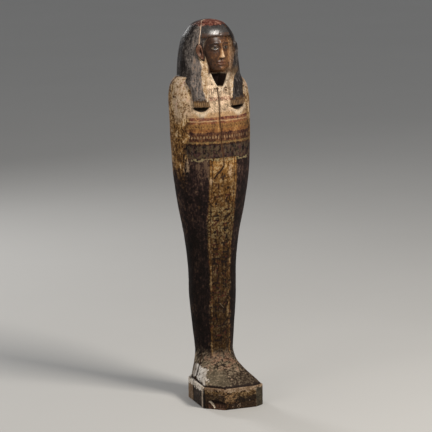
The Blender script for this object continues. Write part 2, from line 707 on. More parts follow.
# %% Distance round the figure
front_to_back = int(np.argmax(turn[0])) + 1
flat = place(body)[:, :front_to_back, :2]
steps = np.hypot(*np.moveaxis(np.diff(flat, axis=1), -1, 0))
length = np.hstack([np.zeros((len(heights), 1)), np.cumsum(steps, axis=1)])
arc = np.hstack([length, -length[:, -2:0:-1]])
print("half way round at the chest:", round(length[len(heights) // 3].max(), 1), "mm")

# %% Wear, chips and the cream ridge on the wig
LAPPET_RADIUS, BACK_RADIUS = 45.0, 40.0     # turn a gap in radians into millimetres
CHIP_DEPTH, RIDGE_RELIEF, CRACK_DEPTH, CRACK_HALF = 0.55, 0.75, 1.5, 0.75

across = points[..., 0]
lappet_gap = (edge_lappet - np.abs(column_turn)) * LAPPET_RADIUS
wig_gap = np.minimum(beside_opening, np.maximum.reduce([
    np.minimum(lappet_gap, height - LAPPET_END),
    height - SHOULDER_LINE - 4.5 + 3 * np.sin(turn),
    np.minimum((np.abs(column_turn) - edge_back) * BACK_RADIUS, height - BACK_END)]))
wig_gap = np.maximum(wig_gap, height - FRINGE)

SCRATCHES = [
    [(-2.0, 162), (4.5, 154)], [(13.0, 180), (14.5, 177.5)], [(-3.4, 263), (-2.2, 261)]]
scratch = np.min([line_gap(arc, height, path) for path in SCRATCHES], axis=0)
WORN = [(11.5, 382, 4.0, 14), (-21.5, 366, 3.0, 7), (-62, 505, 9, 10), (-50, 481, 7, 10),
        (-61, 388, 3.5, 14), (13.0, 151, 2.8, 18), (13.5, 178, 2.2, 3), (-17.0, 196, 2.6, 12)]
worn = np.max([1 - np.hypot((arc - x) / w, (height - z) / h) for x, z, w, h in WORN], axis=0)

RIDGE = [(580.0, -47.0), (592.0, -45.5), (600.0, -44.4), (609.0, -46.5), (617.0, -54.0),
         (620.0, -66.0)]
ridge_turn = np.radians(smooth(RIDGE, heights)[0])[:, None]
ridge_gap = 0.9 - np.abs(turn - ridge_turn) * radius
ridge_gap = np.minimum(ridge_gap, height - 584) + 0.5 * uneven(points, 5.0, seed=6)

crack = crack_gap(points, turn, arc)
chip_field = 0.6 * uneven(points, 9.0, seed=1) + 0.4 * uneven(points, 3.6, seed=2)
foot = ramp(height, 84, 60)
chips = chip_field - 0.60 + 0.12 * foot
skin_wear = 0.30 * (1 - uneven(points, 26.0, seed=4)) + 0.12 * (1 - uneven(points, 7.0, seed=5))
on_face = ramp(-beside_opening, -1.0, 1.0) * ramp(height, 534, 538) * ramp(height, 596, 594)
skin_wear = skin_wear * (1 - 0.85 * on_face)

radius = radius - skin_wear
radius = radius - CHIP_DEPTH * ramp(chips, 0.0, 0.09) * (1 - on_face)
radius = radius + RIDGE_RELIEF * ramp(ridge_gap, -0.6, 0.5)
heel_crack = ramp(height, 66, 60) * (turn < 0)
crack_half = CRACK_HALF + 0.35 * heel_crack
radius = radius - (CRACK_DEPTH + heel_crack) * np.exp(-(crack / crack_half) ** 2)
points = place(radius)

# %% Build a closed skin
def skin(name, rings, start, end, values):
    """Quads between rings, a fan at each end, and named values at the points."""
    count, around = rings.shape[:2]
    k = np.arange(around)
    after = (k + 1) % around
    base = np.arange(count - 1)[:, None] * around
    quads = np.stack([base + k, base + after, base + around + after, base + around + k], -1)
    first, last = count * around, count * around + 1
    low = np.stack([after, k, np.full(around, first)], -1)
    high = np.stack([k, after, np.full(around, last)], -1)
    high[:, :2] += (count - 1) * around
    mesh = bpy.data.meshes.new(name)
    everything = np.vstack([rings.reshape(-1, 3), [start, end]]) * MM
    mesh.from_pydata(everything, [], quads.reshape(-1, 4).tolist() + low.tolist() + high.tolist())
    mesh.shade_smooth()
    for label, value in values.items():
        value = np.broadcast_to(value, rings.shape[:2])
        filled = np.append(value.ravel(), [value[0].mean(), value[-1].mean()])
        mesh.attributes.new(label, "FLOAT", "POINT").data.foreach_set(
            "value", filled.astype(np.float32))
    made = bpy.data.objects.new(name, mesh)
    bpy.context.scene.collection.objects.link(made)
    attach(made, "root")
    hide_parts("statuette")
    print(name, "has", sum(len(p.vertices) - 2 for p in mesh.polygons), "triangles")
    return made


face_across = radius * np.sin(turn - FACE_TURN)
COLUMN = [(60, 17.0), (80, 19.0), (108, 19.5), (168, 18.8), (232, 20.4), (285, 24.0),
          (330, 25.0), (420, 25.0)]
figure = skin("figure", points, (0, AXIS_BACK, SOLE), (0, AXIS_BACK, CROWN - 0.3), {
    "reach": np.abs(arc),
    "own_side": np.sin(column_turn),
    "side": np.sin(turn),
    "ahead": np.cos(turn),
    "wig_gap": wig_gap,
    "opening_gap": beside_opening,
    "lappet_gap": lappet_gap,
    "ear_gap": (1.06 - ear_reach(beside_opening, height)[0]) * 5,
    "ear_depth": ear_relief(beside_opening, height),
    "ridge_gap": ridge_gap,
    "column_gap": smooth(COLUMN, heights)[0][:, None] - np.abs(arc),
    "pit_gap": pit_gap(across, height),
    "eye_gap": eye_gap(face_across, height),
    "iris_gap": 2.3 - np.hypot(np.abs(face_across) - EYE_SIDE + 0.3, height - EYE_HEIGHT),
    "brow_gap": brow_gap(face_across, height),
    "lip_gap": lip_gap(face_across, height),
    "on_face": on_face,
    "raised": face_relief(face_across, height) * on_face,
    "crack_gap": crack,
    "pocket_depth": POCKET_DEPTH * pocket_hollow * ramp(height, LAPPET_END + 1, LAPPET_END),
    "pocket_rim": pocket_rim * ramp(height, LAPPET_END, LAPPET_END - 2),
    "scratch_gap": scratch,
    "worn": worn,
    "chips": chips})

# %% [markdown]
# ## The pedestal's skin
#
# The pedestal is the polygon swept up its sides.  Rings go from the middle of the underside
# out to its edge, up the side, and in over the rim under the feet.  Each ring moves the
# polygon's corners in along their mitres.  One corner is broken off below, and there the
# grain has torn into splinters.

# %% Points round a polygon
def ring_of(inset, steps):
    """The polygon moved in by `inset`, as `steps` even points, its corners a little rounded."""
    before = PLINTH - np.roll(PLINTH, 1, axis=0)
    after = np.roll(PLINTH, -1, axis=0) - PLINTH
    out = [np.stack([-d[:, 1], d[:, 0]], 1) / np.hypot(*d.T)[:, None] for d in (before, after)]
    mitre = (out[0] + out[1]) / (1 + np.sum(out[0] * out[1], 1))[:, None]
    lengths = np.hypot(*after.T)
    along = np.append(0, np.cumsum(lengths))
    s = np.arange(steps) * along[-1] / steps
    corners = PLINTH - mitre * inset
    closed = np.vstack([corners, corners[:1]])
    path = np.stack([np.interp(s, along, closed[:, axis]) for axis in (0, 1)], 1)
    kernel = np.array([1, 2, 3, 2, 1]) / 9
    return sum(w * np.roll(path, shift, axis=0) for w, shift in zip(kernel, range(-2, 3))), s


AROUND = 600
outline, along = ring_of(0.0, AROUND)
outward = outline - ring_of(1.0, AROUND)[0]
outward = outward / np.hypot(*outward.T)[:, None]
print("round the pedestal:", round(along[-1], 1), "mm in", AROUND, "columns")

# %% Rings of the pedestal
SIDE_STEP, BEVEL, RIM = 0.8, 1.2, 9.0
profile = [(9.0, 0.0, -90), (4.0, 0.0, -90), (BEVEL, 0.0, -90), (0.35, 0.35, -45)]
profile += [(0.0, z, 0) for z in rows((BEVEL, PLINTH_HEIGHT - BEVEL, SIDE_STEP))]
profile += [(0.35, PLINTH_HEIGHT - 0.35, 45)]
profile += [(inset, PLINTH_HEIGHT, 90) for inset in rows((BEVEL, RIM, SIDE_STEP))]
inset, level, facing = np.array(profile).T
block = np.stack([ring_of(i, AROUND)[0] for i in inset])
levels = np.broadcast_to(level[:, None], block.shape[:2])
block = np.dstack([block[..., 0], -block[..., 1], levels])
sideways, upward = np.cos(np.radians(facing))[:, None], np.sin(np.radians(facing))[:, None]
normal = np.dstack([sideways * outward[:, 0], -sideways * outward[:, 1],
                    upward + 0 * outward[:, 0]])
print("pedestal rings:", block.shape)

# %% The broken corner
BREAK = np.array([(0.24, 12.0, 3.0, 1.2), (0.36, 15.0, 5.5, 2.4), (0.5, 15.5, 6.5, 2.8),
                  (0.8, 14.0, 6.0, 2.8), (1.04, 11.5, 5.0, 2.4)])   # share, roof, deep, shallow
FACET, FACET_END = 7, 8     # the corners of the polygon that the broken side lies between
facet_length = np.hypot(*(PLINTH[FACET_END] - PLINTH[FACET]))
facet_start = np.sum(np.hypot(*np.diff(PLINTH[:FACET + 1], axis=0).T))
facet_share = (along - facet_start) / facet_length
roof, deep, shallow = (np.interp(facet_share, BREAK[:, 0], BREAK[:, k]) for k in (1, 2, 3))
roof = roof + 1.2 * uneven(np.stack([along, 0 * along, 0 * along], 1), 4.0, seed=8)
in_break = np.minimum(facet_share - BREAK[0, 0], BREAK[-1, 0] - facet_share) * facet_length
bare = np.minimum(in_break, roof - block[..., 2])
fall = np.clip(block[..., 2] / roof, 0, 1)
fibres = np.stack([block[..., 0], block[..., 1], block[..., 2] * 0.12], -1)
torn = shallow + (deep - shallow) * fall + 0.9 * uneven(fibres, 1.9, seed=9)
SPLINTER = [(8.0, 14.5), (12.5, 10.5), (16.5, 6.0), (19.0, 2.5)]   # along the facet, height
SPLINTER_RELIEF, SPLINTER_HALF = 3.2, 1.3
splinter = line_gap(facet_share * facet_length + 0 * block[..., 2], block[..., 2], SPLINTER)
torn = torn - SPLINTER_RELIEF * np.exp(-(splinter / SPLINTER_HALF) ** 2)
print("break:", round(facet_length, 1), "mm facet, deepest", round(float(torn.max()), 1), "mm")

# %% Wear of the pedestal
forward = -block[..., 1]
split = np.where(block[..., 0] < 0, np.abs(forward - CRACK_FORWARD), 1e3)
split = split + 0.25 * uneven(block, 5.0, seed=12) - 0.6
edge = np.exp(-((block[..., 2] - PLINTH_HEIGHT) / 2.5) ** 2)
edge = edge + 0.7 * np.exp(-(level / 2.5) ** 2)[:, None]
block_chips = 0.6 * uneven(block, 6.0, seed=13) + 0.4 * uneven(block, 2.6, seed=14)
block_chips = block_chips - 0.62 + 0.28 * edge
push = -0.22 * (1 - uneven(block, 18.0, seed=15)) - 0.10 * (1 - uneven(block, 5.0, seed=16))
push = push - 0.9 * ramp(block_chips, 0.0, 0.15) - 2.0 * np.exp(-(split / 0.65) ** 2)
push = push * np.where(facing < -80, 0, 1)[:, None]
push = push - np.where(np.abs(facing)[:, None] < 80, torn * ramp(bare, -0.2, 0.5), 0)
block = block + normal * push[..., None]
pedestal = skin("pedestal", block, (0, 0, 0), (0, 0, PLINTH_HEIGHT), {
    "bare_gap": bare,
    "splinter_gap": splinter,
    "crack_gap": split,
    "chips": block_chips,
    "facet": facet_share})

# %% [markdown]
# ## Paint
#
# The maker laid white gesso on the wood, then flat colours: ochre, red, cream, green-black and
# black.  Every colour has since been broken up by wear, dirt and old varnish.  The shader
# repeats that order.  Each area is a mask worked out from the distances that the mesh carries,
# each edge is made ragged with noise, and wear is laid on last.

# %% Colours
BLACK, DARK = (0.009, 0.007, 0.007), (0.016, 0.009, 0.007)
WOOD, CRACK = (0.10, 0.052, 0.028), (0.006, 0.004, 0.003)
WIG = [(0.0, (0.006, 0.005, 0.005)), (0.25, (0.024, 0.020, 0.019)), (0.48, (0.080, 0.068, 0.061)),
       (0.74, (0.20, 0.172, 0.155)), (0.95, (0.30, 0.215, 0.16))]
SHROUD = [(0.0, (0.003, 0.002, 0.002)), (0.35, (0.009, 0.005, 0.005)), (0.6, (0.027, 0.014, 0.013)),
          (0.8, (0.062, 0.034, 0.026)), (0.97, (0.13, 0.080, 0.050))]
OCHRE = [(0.0, (0.016, 0.008, 0.003)), (0.2, (0.070, 0.028, 0.008)), (0.45, (0.20, 0.090, 0.021)),
         (0.75, (0.32, 0.160, 0.043)), (0.95, (0.52, 0.34, 0.15))]
CREAM = [(0.0, (0.13, 0.065, 0.030)), (0.18, (0.28, 0.155, 0.072)), (0.40, (0.52, 0.345, 0.190)),
         (0.62, (0.70, 0.520, 0.345)), (0.84, (0.84, 0.70, 0.53)), (0.98, (0.64, 0.37, 0.26))]
FLANK = [(0.0, (0.055, 0.024, 0.010)), (0.2, (0.13, 0.060, 0.020)), (0.4, (0.27, 0.130, 0.038)),
         (0.6, (0.40, 0.220, 0.076)), (0.8, (0.59, 0.37, 0.165)), (0.96, (0.86, 0.65, 0.41))]
FEET = [(0.0, (0.012, 0.007, 0.005)), (0.22, (0.055, 0.036, 0.023)), (0.45, (0.13, 0.100, 0.065)),
        (0.65, (0.235, 0.178, 0.120)), (0.85, (0.44, 0.35, 0.25)), (0.98, (0.46, 0.24, 0.15))]
SKIN = [(0.0, (0.024, 0.010, 0.005)), (0.35, (0.080, 0.033, 0.014)), (0.6, (0.21, 0.095, 0.036)),
        (0.85, (0.46, 0.25, 0.115)), (1.0, (0.66, 0.44, 0.26))]
PANEL = [(0.0, (0.010, 0.006, 0.004)), (0.25, (0.040, 0.020, 0.010)), (0.5, (0.115, 0.058, 0.020)),
         (0.75, (0.235, 0.132, 0.048)), (0.95, (0.42, 0.28, 0.14))]
RIM = [(0.0, (0.05, 0.028, 0.017)), (0.35, (0.17, 0.105, 0.06)), (0.65, (0.32, 0.215, 0.13)),
       (0.9, (0.48, 0.37, 0.26))]


def faded(stops, share):
    """The same list of paints, each taken down to a share of its lightness."""
    return [(place, tuple(share * part for part in colour)) for place, colour in stops]


def times(colour, shade):
    """One colour multiplied by another."""
    return colour.node("ShaderNodeMix", {"data_type": "RGBA", "blend_type": "MULTIPLY"},
                       {0: 1.0, 6: colour, 7: shade}, 2)


def shade_of(amount, stops):
    """Turn a number into a grey that rises and falls through (place, lightness) stops."""
    return paint_of(amount, [(place, (light,) * 3) for place, light in stops])


def paint_of(amount, stops):
    """Turn a number from 0 to 1 into one of a list of paints, one blending into the next."""
    return amount.node("ShaderNodeValToRGB", {"stops": stops}, {0: amount})


# %% Flakes, repeats and lengths
def shaken(place, size, amount):
    """The place moved about by up to half of `amount` mm, in clouds `size` mm wide."""
    noise = place.node("ShaderNodeTexNoise", {}, {
        "Vector": place, "Scale": 1 / (size * MM), "Detail": 2.0}, 1)
    return place.node("ShaderNodeVectorMath", {"operation": "MULTIPLY_ADD"}, {
        0: noise, 1: (amount * MM,) * 3, 2: place})


def flakes(place, size, stretch=1.0, seed=0.0):
    """A random number from 0 to 1 for each cell of an irregular net, `size` mm wide."""
    scale = 1 / (size * MM)
    mapped = place.node("ShaderNodeMapping", {}, {
        "Vector": place, "Location": (seed, seed * 1.3, seed * 0.7),
        "Scale": (scale, scale, scale / stretch)})
    colour = place.node("ShaderNodeTexVoronoi", {"feature": "F1"}, {
        "Vector": mapped, "Scale": 1.0}, 1)
    return colour.node("ShaderNodeSeparateColor", {}, {0: colour})


def repeated(value, pitch):
    """Distance from the middle of the nearest repeat: |fraction(value / pitch) - 1/2| * pitch."""
    share = value / pitch
    return abs(share.maths("FRACT", share) - 0.5) * pitch


def length_of(x, y):
    """sqrt(x * x + y * y)"""
    total = x * x + y * y
    return total.maths("SQRT", total)


# %% Rows of pattern across the chest
ROWS = [  # from this height up: colour
    (404.0, BLACK), (423.5, (0.045, 0.018, 0.013)), (427.3, (0.26, 0.165, 0.068)),
    (430.0, (0.085, 0.033, 0.018)), (433.0, (0.070, 0.024, 0.015)), (441.0, (0.055, 0.019, 0.016)),
    (445.0, (0.28, 0.115, 0.040)), (450.5, (0.30, 0.150, 0.052)), (458.0, (0.27, 0.095, 0.048)),
    (461.5, (0.58, 0.36, 0.20)), (463.8, (0.22, 0.066, 0.045)), (469.0, (0.60, 0.38, 0.20)),
    (476.0, (0.66, 0.47, 0.30)), (493.5, (0.30, 0.085, 0.052)), (499.5, (0.70, 0.52, 0.35)),
    (511.0, (0.12, 0.06, 0.034)), (513.5, (0.70, 0.53, 0.36))]
ROWS_LOW, ROWS_HIGH = 398.0, 540.0


def chest_rows(z, arc, kept):
    """The bands, with petals, rings, beads and drops in four of them, where paint is kept."""
    span = ROWS_HIGH - ROWS_LOW
    stops = [((start - ROWS_LOW) / span, colour) for start, colour in ROWS]
    band = z.node("ShaderNodeValToRGB", {"stops": stops, "interpolation": "CONSTANT"},
                  {0: (z - ROWS_LOW) / span})
    petals = repeated(arc, 3.4).under(0.6, 0.5) * z.within(501, 511, 1)
    band = mix(petals * 0.75, band, (0.085, 0.035, 0.020))
    rings = abs(length_of(repeated(arc + 1.5, 6.6), z - 496.5) - 1.9)
    band = mix(rings.under(0.8, 0.6) * z.within(493.5, 499.5, 0.6) * kept, band,
               (0.62, 0.47, 0.32))
    drops = length_of(repeated(arc, 4.9), (z - 437.4) * 0.5)
    band = mix(drops.under(1.25, 0.6) * z.within(432, 443, 0.6) * kept * 0.65, band,
               (0.46, 0.31, 0.17))
    beads = length_of(repeated(arc + 2.0, 4.4), z - 454.3)
    return mix(beads.under(1.3, 0.6) * z.within(450, 458, 0.6) * 0.8, band,
               (0.10, 0.035, 0.018))


# %% Rows of strokes down the front
SIGN_HIGH = 16.0


def strokes(z, arc, half_width):
    """Marks that mean nothing, in two columns of cells: 1 inside a stroke.  Random numbers
    for each cell choose some of six strokes: two level, two upright, a slanted one, a dot."""
    wide = half_width - 5.5
    across, down = arc / wide, z / SIGN_HIGH + (arc / wide).over(0, 0.01) * 0.4
    column, row = across.maths("FLOOR", across), down.maths("FLOOR", down)
    cell = column.node("ShaderNodeCombineXYZ", {}, {0: column, 1: row})
    noise = cell.node("ShaderNodeTexWhiteNoise", {"noise_dimensions": "3D"}, {0: cell}, 1)
    lots = [noise.node("ShaderNodeSeparateColor", {}, {0: noise}, k) for k in range(3)]
    x = ((across - column - 0.5) * wide - (lots[2] - 0.5) * 2.0) * 0.9
    y = (down - row - 0.5) * SIGN_HIGH * 0.8
    high = (1.15 - abs(y - 3.6)).least(5.6 - abs(x))
    low = (1.1 - abs(y + 3.2)).least(4.6 - abs(x + 0.8))
    uprights = (0.95 - repeated(x, 4.2)).least(2.9 - abs(y)).least(5.4 - abs(x))
    post = (1.2 - abs(x - 1.5)).least(4.9 - abs(y))
    slanted = (1.1 - abs(y * 0.8 - x * 0.6)).least(4.6 - abs(x))
    dot = 1.9 - length_of(x + 2.2, y - 0.4)
    ink = high * 0 - 1
    for lot, start, end, shape in (
            (0, 0.15, 0.62, high), (1, 0.0, 0.5, low), (2, 0.0, 0.42, uprights),
            (0, 0.62, 0.9, post), (2, 0.42, 0.62, slanted), (1, 0.5, 0.75, dot)):
        ink = ink.most(lots[lot].within(start, end, 0.001) * (shape + 1) - 1)
    return ink.over(0, 0.5)


# %% The painted figure
def painted_figure():
    """Ground colours by area, then pattern, then wear, dirt and varnish."""
    material, shader = new_material("painted wood")
    at = coordinates(material)
    height = at.node("ShaderNodeSeparateXYZ", {}, {0: at}, 2) * 1000
    moved = shaken(at, 2.5, 1.4)
    side, ahead = stored(at, "side"), stored(at, "ahead")
    opening, lappet = stored(at, "opening_gap"), stored(at, "lappet_gap")
    turn = side.maths("ARCTAN2", side, ahead) * (180 / np.pi)
    away, on_left = abs(turn), stored(at, "own_side")
    arc = stored(at, "reach") * on_left.maths("SIGN", on_left)
    broad, middling = cloud(at, 30, 1.6), cloud(at, 9, 1.3, 4, 3.1)
    fine, speck = cloud(at, 3.0, 1.5, 5, 7.7), cloud(at, 1.2, 1.2, 3, 1.9)
    streak = cloud(moved, 2.6, 9.0, 4, 5.5)
    flake, small = flakes(moved, 4.4, 1.4, 2.0), flakes(moved, 1.9, 1.2, 5.0)
    grains = flake * 0.09 + small * 0.11 + middling * 0.28 + fine * 0.24 + speck * 0.14
    mottle = (grains + streak * 0.14 - 0.5) * 3.1 + 0.5
    # the same noises about 0, to move edges and heights by
    drift, sway, jitter, patch = (n - 0.5 for n in (middling, broad, fine, flake))
    z = height + drift * 4.5 + jitter * 3.0
    x = arc + jitter * 1.2 + drift * 1.5

    # shroud: black and brown, with an ochre column down the front
    threads = (streak * 0.4 + mottle * 0.50 + broad * 0.6 - 0.75) * 2.2 + 0.42
    threads = threads + height.over(360, 120) * 0.14 + away.over(70, 20) * 0.06
    threads = threads + height.over(372, 25) * arc.within(-44, -20, 8) * 0.22
    shroud = times(paint_of(threads, SHROUD), shade_of(height / 400, [(0.6, 0.45), (0.9, 1.0)]))
    gap = stored(at, "column_gap")
    half_width = gap + abs(arc)
    lift = height.over(340, 60) * 0.10 + (streak - 0.5) * 0.5
    column = paint_of((mottle - 0.5) * 1.25 + 0.5 + lift, OCHRE)
    blots = (middling * 0.35 + fine * 0.45 + speck * 0.2).over(0.53, 0.08)
    column = mix(blots * 0.45, column, (0.075, 0.036, 0.017))
    column = mix(small.over(0.70, 0.2) * middling.over(0.5, 0.1) * 0.6, column, (0.42, 0.29, 0.15))
    pale = height.within(268, 324, 14) * small.over(0.52, 0.2)
    column = mix(pale * 0.6, column, (0.34, 0.255, 0.12))
    inner = gap.over(6.5, 2.0) * height.under(262, 30)
    strip = gap.under(6.0, 1.5) * height.under(262, 30) * broad.over(0.35, 0.25)
    shade = shade_of((height - 80) / 320, [
        (0.0, 0.24), (0.12, 0.17), (0.45, 0.28), (0.62, 0.42), (0.74, 0.58), (0.88, 0.70),
        (0.96, 1.15)])
    shade = mix(inner * 0.35, shade, (0.10, 0.10, 0.10))
    shade = mix(strip * 0.42, shade, (0.70, 0.72, 0.72))
    rubbed = (mottle - 0.5) * (1 - height.over(330, 60) * 0.7) + 0.5
    column = times(times(column, shade), shade_of(rubbed, [(0.2, 0.6), (0.5, 1.0), (0.9, 1.7)]))
    lines = abs(gap - 0.6).under(0.8, 0.6).most(abs(gap - 5.4).under(0.7, 0.6))
    lines = lines.most(abs(x + 1.0).under(0.6, 0.5) * middling.over(0.45, 0.1) * 0.8)
    marks = strokes(height + jitter * 1.2 + drift * 2, x, half_width)
    marks = marks * height.within(96, 362, 6)
    ink = marks.most(lines * 0.8) * (1 - (mottle.over(0.85, 0.1) * 0.7))
    ink_paint = mix(flake.over(0.7, 0.02), (0.009, 0.005, 0.004), (0.060, 0.016, 0.009))
    column = mix(ink * 0.95, column, ink_paint)
    in_column = (gap + jitter * 4 + drift * 4).over(0.2, 2.0)
    paint = mix(in_column * height.within(72, 404, 10), shroud, column)

    # chest bands, then the mottled flanks and shoulders beside them
    kept = (broad * 0.5 + middling * 0.5).over(0.44, 0.08) * 0.7 + 0.3
    bands = chest_rows(height + drift * 4.4 + jitter * 1.8, x, kept)
    ground = mix(height.over(476, 10), paint_of(mottle, faded(OCHRE, 0.8)),
                 paint_of(mottle, faded(CREAM, 0.85)))
    dark_band = height.within(404, 425, 1.5)
    thin = mottle.over(0.56, 0.2) * (1 - dark_band * 0.85) * (1 - height.within(431, 445, 2) * 0.6)
    bands = mix(thin * 0.65, bands, ground)
    bands = mix(blots * 0.42, bands,
                mix(height.over(462, 3), (0.085, 0.040, 0.020), (0.27, 0.15, 0.085)))
    bands = times(bands, shade_of(mottle, [(0.0, 0.22), (0.30, 0.55), (0.5, 1.03), (0.85, 1.75)]))
    worn_band = dark_band * (mottle * 0.7 + middling * 0.3).over(0.48, 0.3)
    bands = mix(worn_band, bands, mix(flake.over(0.5, 0.1), (0.075, 0.034, 0.030),
                (0.105, 0.068, 0.038)))
    seam = abs(height + drift * 5 - 425.2).under(0.9, 0.8) * (0.4 + broad)
    bands = mix(seam * 0.9, bands, (0.014, 0.006, 0.005))
    ticks = repeated(x, 8.0).under(0.8, 0.6) * dark_band * small
    bands = mix(ticks * 0.5, bands, (0.12, 0.105, 0.080))
    front_edge = away + drift * 20 + jitter * 14 + height.over(415, 50) * 10
    in_front = front_edge.under(67, 6)
    paint = mix(height.over(404, 1) * in_front, paint, bands)
    dashes = abs(z - 401.2).under(2.2, 1.0) * flakes(moved, 6.0, 0.7, 9.0).over(0.38, 0.1)
    paint = mix(dashes * in_front * small.over(0.2, 0.1) * 0.85, paint, (0.33, 0.26, 0.135))
    beside = (away + drift * 10).over(55, 3)
    beside = beside * (away + sway * 50 + (streak - 0.5) * 40).under(106, 10)
    flank_shade = (height - 470) * 0.0026 + 0.02 + sway * 0.45
    flank_shade = flank_shade - z.within(396, 470, 10) * 0.12
    patches = (mottle - 0.5) * 1.5 + sway * 0.3 + (streak - 0.5) * 1.1
    flank = paint_of(patches + 0.48 + flank_shade, FLANK)
    low_flank = z + sway * 60 + drift * 40 - abs(away - 66) * 1.2
    low_flank = low_flank - turn.over(0, 1) * 60
    paint = mix(beside * low_flank.over(357, 30) * (1 - in_front), paint, flank)
    outer = (away + drift * 24 + (streak - 0.5) * 20).within(84, 130, 8)
    creamy = (broad + drift * 0.5 + (height - 500) * 0.008 - outer * 0.30).over(0.45, 0.2)
    shoulder = mix(creamy, paint_of(patches * 1.2 + 0.62 - outer * 0.14, FLANK),
                   paint_of(patches + 0.56, CREAM))
    low_edge = (away - 100) * 0.6 + 484 + sway * 30
    on_shoulder = (z - low_edge).over(0, 8) * lappet.under(0, 1)
    paint = mix(on_shoulder * away.over(61, 2), paint, shoulder)
    bright = turn.within(-80, -53, 8) * (z + sway * 30).within(468, 500, 10)
    bright = bright * lappet.under(0, 1)
    paint = mix(bright * 0.6, paint, paint_of(patches + 0.66, CREAM))
    around = away + turn.over(0, 40) * 25 + drift * 24
    grime = around.within(68, 122, 18) * (turn.over(0, 40) * 0.30 + 0.10)
    paint = times(paint, 1 - grime * height.over(402, 8))

    # feet: mottled remains of pink, cream and green-grey, streaked along the instep
    tilted = at.node("ShaderNodeMapping", {}, {"Vector": at, "Rotation": (-0.85, 0.0, 0.0)})
    slope = cloud(tilted, 3.0, 9.0, 3, 8.8)
    feet = paint_of((mottle * 0.18 + slope * 1.3 + middling * 0.4 + broad * 0.5 - 1.19) * 2.0
                    + 0.41, FEET)
    toes = (abs(turn - 14) + drift * 40).under(22, 8) * z.under(52, 6)
    feet = mix(toes * 0.85, feet, paint_of(slope * 1.8 - 0.62, FEET))
    olive = (turn + drift * 20).within(-34, -8, 5) * z.within(36, 58, 4)
    feet = mix(olive * 0.55, feet, (0.14, 0.112, 0.072))
    upper = (turn + sway * 60).within(-45, 22, 10) * z.within(58, 84, 8)
    rosy = mix(middling.over(0.52, 0.08), (0.36, 0.27, 0.17), (0.36, 0.19, 0.12))
    feet = mix(upper * (mottle * 0.5 + slope * 0.5).over(0.50, 0.15) * 0.6, feet, rosy)
    feet = times(feet, mix(turn.over(4, 30), (1.0, 1.0, 1.0), (0.66, 0.63, 0.60)))
    feet = mix((z + jitter * 2).under(38.0, 1.2), feet, DARK)
    feet = times(feet, shade_of(height / 100, [(0.62, 1.0), (0.8, 0.62)]))
    ankle = (z + sway * 40 + patch * 12).under(82, 16)
    paint = mix(ankle, paint, feet)

    # wig: worn black, with cream along the opening and brown ends
    wig_gap = stored(at, "wig_gap") + jitter * 0.8
    strands = (streak * 0.7 + mottle * 0.35 + speck * 0.2 - 0.625) * 1.7 + 0.36
    strands = strands + sway * 0.5 - away.over(78, 16) * 0.10
    strands = strands + turn.within(-62, -8, 16) * 0.34 - turn.over(15, 10) * 0.10
    strands = strands - turn.within(-45, 60, 2) * height.over(584, 6) * 0.3
    strands = strands - height.over(596, 14) * 0.14
    hair = paint_of(strands, WIG)
    taper = ((height - 490) / 45).maths("MINIMUM", (height - 490) / 45, 1.0) * 7.0 + 2.0
    taper = taper + turn.over(0, 1) * (height.over(535, 10) * 8 - 1.5)
    band_end = height + turn.over(0, 1) * 22
    band = (opening - taper + drift * 4).under(0, 1) * band_end.within(484, 566, 8)
    far_head = turn.over(0, 1) * (z + sway * 40).over(526, 14)
    hair = mix(band, hair, times(paint_of(mottle, CREAM),
               mix(far_head, (1.0, 1.0, 1.0), (0.16, 0.14, 0.12))))
    beside_lappet = abs(lappet - 2.5).under(2.5, 1)
    hair = mix(beside_lappet * height.within(486, 545, 6) * 0.55, hair, (0.010, 0.007, 0.006))
    ends = paint_of(mottle * 0.8, PANEL)
    tips = repeated(x, 3.0).under(0.6, 0.5) * height.within(486, 493, 1)
    ends = mix(tips * 0.6, ends, (0.32, 0.20, 0.105))
    hair = mix((z + patch * 6).under(496.5, 2) * lappet.over(0, 1), hair, ends)
    crown = (z + patch * 3).over(612.5, 1.5) * away.under(85, 20)
    crown = crown * (0.45 + turn.over(-58, 8) * 0.55)
    red = paint_of(mottle, [(0.1, BLACK), (0.3, (0.075, 0.017, 0.011)), (0.6, (0.17, 0.055, 0.036)),
                            (0.85, (0.32, 0.17, 0.12))])
    hair = mix(crown, hair, red)
    panel = away.under(44, 1) * height.within(596, 612, 1.5)
    tresses = repeated(x, 2.4).under(0.6, 0.5) * (0.5 + small)
    hair = mix(panel * 0.9, hair, mix(fine.over(0.5, 0.2), (0.006,) * 3, (0.026, 0.023, 0.021)))
    hair = mix(panel * tresses * middling.over(0.4, 0.2) * 0.35, hair, (0.12, 0.10, 0.085))
    fringe = away.under(40, 2) * height.under(601.0, 1.2) * height.over(594, 0.5)
    hair = mix(fringe, hair, mix(tresses, (0.085, 0.038, 0.018), (0.016, 0.009, 0.007)))
    on_wig = wig_gap.over(0, 0.6)
    paint = mix(on_wig, paint, hair)

